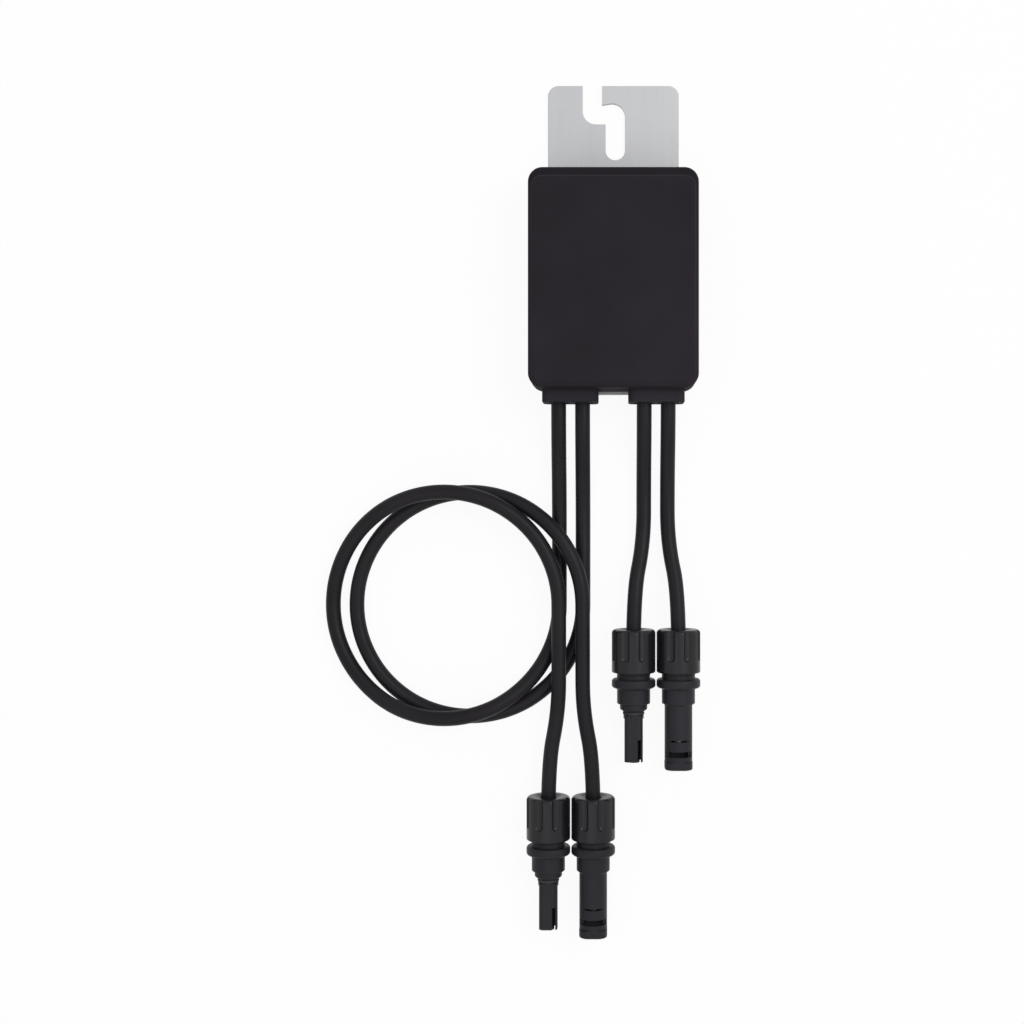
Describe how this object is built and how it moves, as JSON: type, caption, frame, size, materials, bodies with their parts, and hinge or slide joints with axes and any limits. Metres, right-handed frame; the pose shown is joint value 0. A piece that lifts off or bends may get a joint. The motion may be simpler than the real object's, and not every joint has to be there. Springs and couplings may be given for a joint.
{
  "type": "solar power optimizer",
  "caption": "Flat sealed box on a slotted hook plate, with looped input and short output cables ending in single-pole plug and socket couplers.",
  "frame": {"origin": "middle of the underside of the housing and its plate, cords left out", "axes": "+X across the housing, +Y along it towards the hook slot, +Z out of the front cover"},
  "size_m": [0.1709, 0.3874, 0.028],
  "materials": {
    "plate": "satin sheet",
    "housing": "fine moulded texture",
    "gland": "smooth moulded",
    "seal": "matt rubber",
    "cable": "satin jacket",
    "coupler": "satin moulded",
    "nut": "satin moulded",
    "cage": "smooth moulded",
    "contact": "tinned",
    "screws": "plated",
    "board": "solder resist",
    "ferrite": "sintered",
    "copper": "enamelled wire",
    "package": "moulded",
    "can": "satin",
    "pad": "soft pad",
    "spreader": "mill"
  },
  "bodies": {
    "optimizer": {"mounting_plate": "plate", "housing_base": "housing", "front_cover": "housing", "cover_gasket": "seal", "cover_screws": "screws", "plate_screws": "screws", "left_gland_block": "gland", "right_gland_block": "gland", "left_twin_seal": "seal", "right_twin_seal": "seal", "circuit_board": "board", "board_screws": "screws", "left_inductor_core": "ferrite", "left_inductor_winding": "copper", "right_inductor_core": "ferrite", "right_inductor_winding": "copper", "power_transistors": "package", "input_capacitors": "can", "output_capacitors": "can", "bypass_diode": "package", "control_chip": "package", "signal_transformer": "package", "thermal_pad": "pad", "heat_spreader": "spreader", "cable_terminals": "contact", "long_socket_cable": "cable", "long_socket_cable_rubber": "seal", "long_socket_body": "coupler", "long_socket_contact": "contact", "long_socket_seal_ring": "seal", "long_plug_cable": "cable", "long_plug_cable_rubber": "seal", "long_plug_body": "coupler", "long_plug_contact": "contact", "short_socket_cable": "cable", "short_socket_cable_rubber": "seal", "short_socket_body": "coupler", "short_socket_contact": "contact", "short_socket_seal_ring": "seal", "short_plug_cable": "cable", "short_plug_cable_rubber": "seal", "short_plug_body": "coupler", "short_plug_contact": "contact"},
    "long_socket_clamp_cage": {"long_socket_clamp_cage": "cage"},
    "long_socket_nut": {"long_socket_nut": "nut"},
    "long_plug_clamp_cage": {"long_plug_clamp_cage": "cage"},
    "long_plug_nut": {"long_plug_nut": "nut"},
    "short_socket_clamp_cage": {"short_socket_clamp_cage": "cage"},
    "short_socket_nut": {"short_socket_nut": "nut"},
    "short_plug_clamp_cage": {"short_plug_clamp_cage": "cage"},
    "short_plug_nut": {"short_plug_nut": "nut"}
  },
  "joints": [
    {"name": "long_socket_cage_slide", "type": "slide", "parent": "optimizer", "child": "long_socket_clamp_cage", "axis": [0, 1, 0], "range_m": [0, 0.0045]},
    {"name": "long_socket_nut_turn", "type": "hinge", "parent": "long_socket_clamp_cage", "child": "long_socket_nut", "pos_m": [-0.02945, -0.2509, 0.00995], "axis": [0, 1, 0], "range_deg": [0, 1080]},
    {"name": "long_plug_cage_slide", "type": "slide", "parent": "optimizer", "child": "long_plug_clamp_cage", "axis": [0, 1, 0], "range_m": [0, 0.0045]},
    {"name": "long_plug_nut_turn", "type": "hinge", "parent": "long_plug_clamp_cage", "child": "long_plug_nut", "pos_m": [-0.00915, -0.2509, 0.00995], "axis": [0, 1, 0], "range_deg": [0, 1080]},
    {"name": "short_socket_cage_slide", "type": "slide", "parent": "optimizer", "child": "short_socket_clamp_cage", "axis": [0, 1, 0], "range_m": [0, 0.0045]},
    {"name": "short_socket_nut_turn", "type": "hinge", "parent": "short_socket_clamp_cage", "child": "short_socket_nut", "pos_m": [0.00915, -0.1754, 0.00995], "axis": [0, 1, 0], "range_deg": [0, 1080]},
    {"name": "short_plug_cage_slide", "type": "slide", "parent": "optimizer", "child": "short_plug_clamp_cage", "axis": [0, 1, 0], "range_m": [0, 0.0045]},
    {"name": "short_plug_nut_turn", "type": "hinge", "parent": "short_plug_clamp_cage", "child": "short_plug_nut", "pos_m": [0.02945, -0.1754, 0.00995], "axis": [0, 1, 0], "range_deg": [0, 1080]}
  ],
  "couplings": [
    {"joint": "long_socket_cage_slide", "follows": "long_socket_nut_turn", "m_per_rad": 0.00023873},
    {"joint": "long_plug_cage_slide", "follows": "long_plug_nut_turn", "m_per_rad": 0.00023873},
    {"joint": "short_socket_cage_slide", "follows": "short_socket_nut_turn", "m_per_rad": 0.00023873},
    {"joint": "short_plug_cage_slide", "follows": "short_plug_nut_turn", "m_per_rad": 0.00023873}
  ]
}
